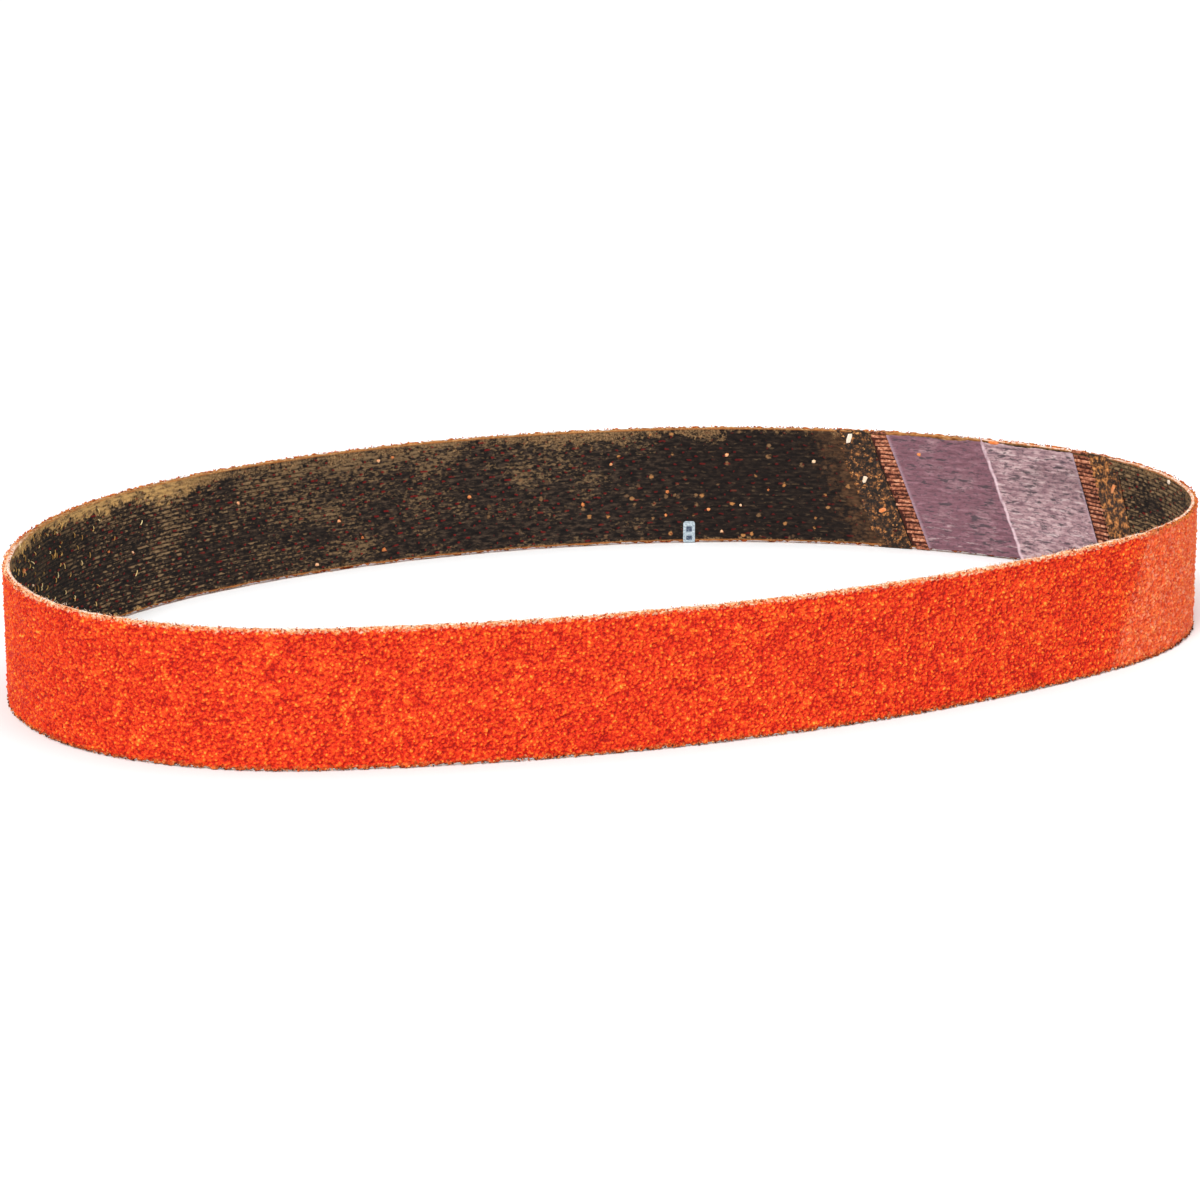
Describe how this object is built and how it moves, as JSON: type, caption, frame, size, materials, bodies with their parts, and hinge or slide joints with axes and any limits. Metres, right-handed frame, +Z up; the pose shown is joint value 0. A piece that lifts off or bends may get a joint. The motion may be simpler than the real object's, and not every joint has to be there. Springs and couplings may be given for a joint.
{
  "type": "sanding belt",
  "caption": "Narrow orange endless sanding file belt standing on edge as a loose oval loop, grain outside and dark ribbed cloth inside with a mauve slanted splice patch.",
  "frame": {"origin": "middle of the loop's bounding box, on the edge it rests on", "axes": "+X along the loop's long way towards the blunt end, +Y away from the run shown nearest, +Z up across the belt's width"},
  "size_m": [0.1703, 0.1259, 0.019],
  "materials": {
    "cloth": "resin-filled polyester cotton cloth, matte",
    "yarn": "lengthwise yarns, reddish brown, matte",
    "back_coat": "dark resin finish over ribbed cloth, worn tan in streaks",
    "front_fill": "sealing resin",
    "make_resin": "phenolic resin",
    "grain": "sharp cream mineral grain",
    "size_resin": "resin coat following the grain, pale orange",
    "supersize": "coloured grinding aid following the grain, strong orange",
    "adhesive": "set adhesive",
    "film": "frosted mauve film, satin",
    "joint_resin": "set resin, satin",
    "residue": "mottled golden brown adhesive residue",
    "flakes": "chipped set adhesive, off-white",
    "strays": "loose grains, tan to orange",
    "ink": "pale blue-grey printing ink"
  },
  "bodies": {
    "root": {"cloth_core": "cloth", "warp_yarns": "yarn", "back_size_coat": "back_coat", "front_fill_coat": "front_fill", "make_coat": "make_resin", "abrasive_grain": "grain", "size_coat": "size_resin", "supersize_coat": "supersize", "splice_adhesive": "adhesive", "splice_film": "film", "butt_joint_resin": "joint_resin", "residue_bands": "residue", "adhesive_flakes": "flakes", "stray_grains": "strays", "print_mark": "ink"}
  },
  "joints": []
}
